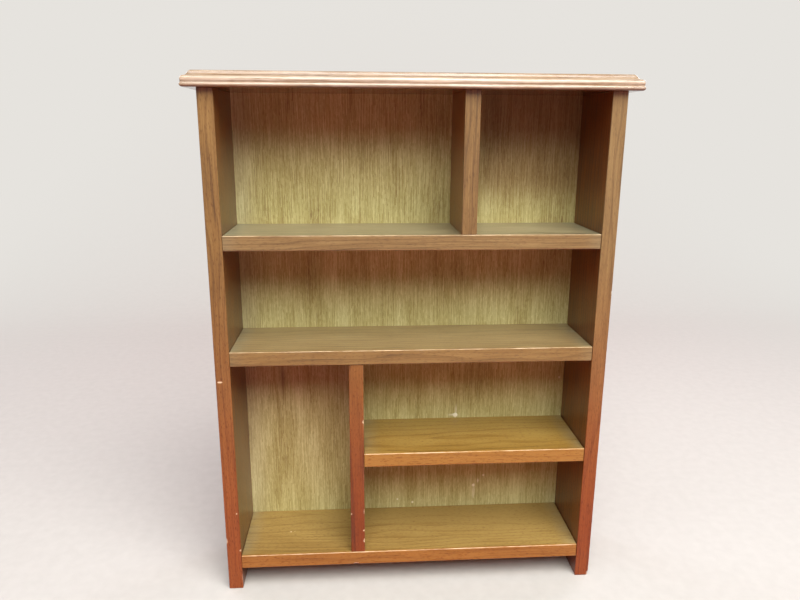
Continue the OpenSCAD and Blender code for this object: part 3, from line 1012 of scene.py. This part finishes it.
def lauan_plywood():
    """Rotary-cut lauan plywood, washed with stain in front and bare behind."""
    material, tree = empty_material("lauan_plywood_thin_stain")
    grain = add(tree, "Attribute", {"attribute_name": "grain"}, out="Vector")
    worn, bare, run = (add(tree, "Attribute", {"attribute_name": layer}, out="Fac")
                       for layer in ("worn", "bleached", "ruddy"))
    upwards, across = (add(tree, "SeparateXYZ", inputs={0: grain}, out=part) for part in "XY")

    def strokes(wide, long):
        """Upright strokes of random tone: lines this wide, cut into lengths that start anywhere."""
        line_place = add(tree, "Math", OVER, {0: across, 1: wide})
        line = add(tree, "Math", {"operation": "FLOOR"}, {0: line_place})
        start = add(tree, "TexWhiteNoise", {"noise_dimensions": "1D"}, {"W": line}, out="Value")
        length_place = add(tree, "Math", OVER, {0: upwards, 1: long})
        shifted = add(tree, "Math", TIMES_PLUS, {0: start, 1: lengths_of_shift, 2: length_place})
        cut = add(tree, "Math", {"operation": "FLOOR"}, {0: shifted})
        stroke = add(tree, "CombineXYZ", inputs={0: line, 1: cut})
        return add(tree, "TexWhiteNoise", {"noise_dimensions": "2D"}, {"Vector": stroke}, out="Value")

    fleck = strokes(fleck_wide, fleck_long)
    speck = strokes(speck_wide, speck_long)
    # noise in cells of so many millimetres: fine streaks, clouds of stain, and broad bands
    patterns = []
    for cell_mm, detail in zip(back_cells_mm, (2.0, 1.0, 1.0)):
        place = add(tree, "Mapping", inputs={"Vector": grain, "Scale": cell_scale(*cell_mm)})
        patterns.append(add(tree, "TexNoise", inputs={"Vector": place, "Scale": 1.0, "Detail": detail}))
    streak, cloud, band = patterns

    # one tone from 0, dark, to 1, light; painted light makes the sheet lighter low down and darker high up,
    # most of all on the right
    tone = -0.215
    for pattern, share in ((fleck, 0.34), (speck, 0.19), (streak, 0.26), (cloud, 0.5), (band, 0.38)):
        tone = add(tree, "Math", TIMES_PLUS, {0: pattern, 1: share, 2: tone})
    painted_light_low = add(tree, "Math", TIMES_PLUS, {0: upwards, 1: -0.0004, 2: 0.15})
    to_right = add(tree, "Math", TIMES_PLUS, {0: across, 1: 0.0015, 2: 0.7})
    tone = add(tree, "Math", TIMES_PLUS, {0: painted_light_low, 1: to_right, 2: tone})
    washed = add(tree, "ValToRGB", inputs={"Fac": tone},
                 stops=[(0.1, srgb("#7e5f39")), (0.5, srgb("#b0a265")), (0.95, srgb("#dad39a"))])
    unwashed = add(tree, "ValToRGB", inputs={"Fac": tone},
                   stops=[(0.1, srgb("#7f6243")), (0.5, srgb("#ab8e6a")), (0.95, srgb("#c8b08e"))])
    faced = add(tree, "Mix", BLEND, {FACTOR: bare, FIRST: washed, SECOND: unwashed}, out=RESULT)
    stained = add(tree, "Mix", TINT, {FACTOR: run, FIRST: faced, SECOND: srgb("#9c6a4c")}, out=RESULT)
    colour = add(tree, "Mix", BLEND, {FACTOR: worn, FIRST: stained, SECOND: srgb("#fff8e0")}, out=RESULT)
    dull = add(tree, "MapRange", inputs={"Value": fleck, "From Min": 0.3, "From Max": 0.7,
                                         "To Min": 0.72, "To Max": 0.55})
    bump = add(tree, "Bump", inputs={"Height": fleck, "Strength": 0.4, "Distance": 0.3 * MM})
    skin = add(tree, "BsdfPrincipled", inputs={"Base Color": colour, "Roughness": dull, "IOR": 1.5,
                                               "Normal": bump})
    add(tree, "OutputMaterial", inputs={"Surface": skin})
    return material


lauan_back.data.materials.append(lauan_plywood())
print("back finished in", lauan_back.data.materials[0].name)

# %% [markdown]
# ## Dowels and pins
#
# The dowels are bare turned beech, hidden in their joints, and the pins are plain drawn steel whose heads
# show on the rear. Their CAD shapes are already right, so they keep them and only get a finish: beech with
# its short dark flecks, and steel with small dull marks of the hammer and a little staining.

# %% Beech and steel


def turned_beech():
    """Bare beech dowel, turned: pale and dull, with flecks 3 mm long, drawn 0.8 mm wide to show."""
    material, tree = empty_material("turned_beech")
    place = add(tree, "TexCoord", out="Object")
    fleck_scale = cell_scale(3 * MM, 0.8 * MM, 0.8 * MM)
    fleck_place = add(tree, "Mapping", inputs={"Vector": place, "Scale": fleck_scale})
    fleck = add(tree, "TexNoise", inputs={"Vector": fleck_place, "Scale": 1.0, "Detail": 2.0})
    colour = add(tree, "ValToRGB", inputs={"Fac": fleck},
                 stops=[(0.3, srgb("#b8905f")), (0.5, srgb("#d6b182")), (0.7, srgb("#e0c197"))])
    bump = add(tree, "Bump", inputs={"Height": fleck, "Strength": 0.3, "Distance": 0.1 * MM})
    skin = add(tree, "BsdfPrincipled", inputs={"Base Color": colour, "Roughness": 0.65, "IOR": 1.5,
                                               "Normal": bump})
    add(tree, "OutputMaterial", inputs={"Surface": skin})
    return material


def drawn_steel():
    """Plain steel panel pin: drawn wire with a hammered, slightly stained head and marks of 0.8 mm."""
    material, tree = empty_material("drawn_steel")
    place = add(tree, "TexCoord", out="Object")
    mark_scale = cell_scale(0.8 * MM, 0.8 * MM, 0.8 * MM)
    mark_place = add(tree, "Mapping", inputs={"Vector": place, "Scale": mark_scale})
    mark = add(tree, "TexNoise", inputs={"Vector": mark_place, "Scale": 1.0, "Detail": 3.0})
    colour = add(tree, "ValToRGB", inputs={"Fac": mark},
                 stops=[(0.35, srgb("#6d655b")), (0.55, srgb("#9c9992")), (0.75, srgb("#b4b2ad"))])
    rough = add(tree, "MapRange", inputs={"Value": mark, "To Min": 0.6, "To Max": 0.3})
    bump = add(tree, "Bump", inputs={"Height": mark, "Strength": 0.3, "Distance": 0.08 * MM})
    skin = add(tree, "BsdfPrincipled", inputs={"Base Color": colour, "Metallic": 1.0, "Roughness": rough,
                                               "Normal": bump})
    add(tree, "OutputMaterial", inputs={"Surface": skin})
    return material


beech, steel = turned_beech(), drawn_steel()
for node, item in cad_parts.items():
    if node.endswith("_dowels") or node.endswith("_pins"):
        item.data.materials.clear()
        item.data.materials.append(beech if node.endswith("_dowels") else steel)
print("hidden joints finished in", beech.name, "and", steel.name)
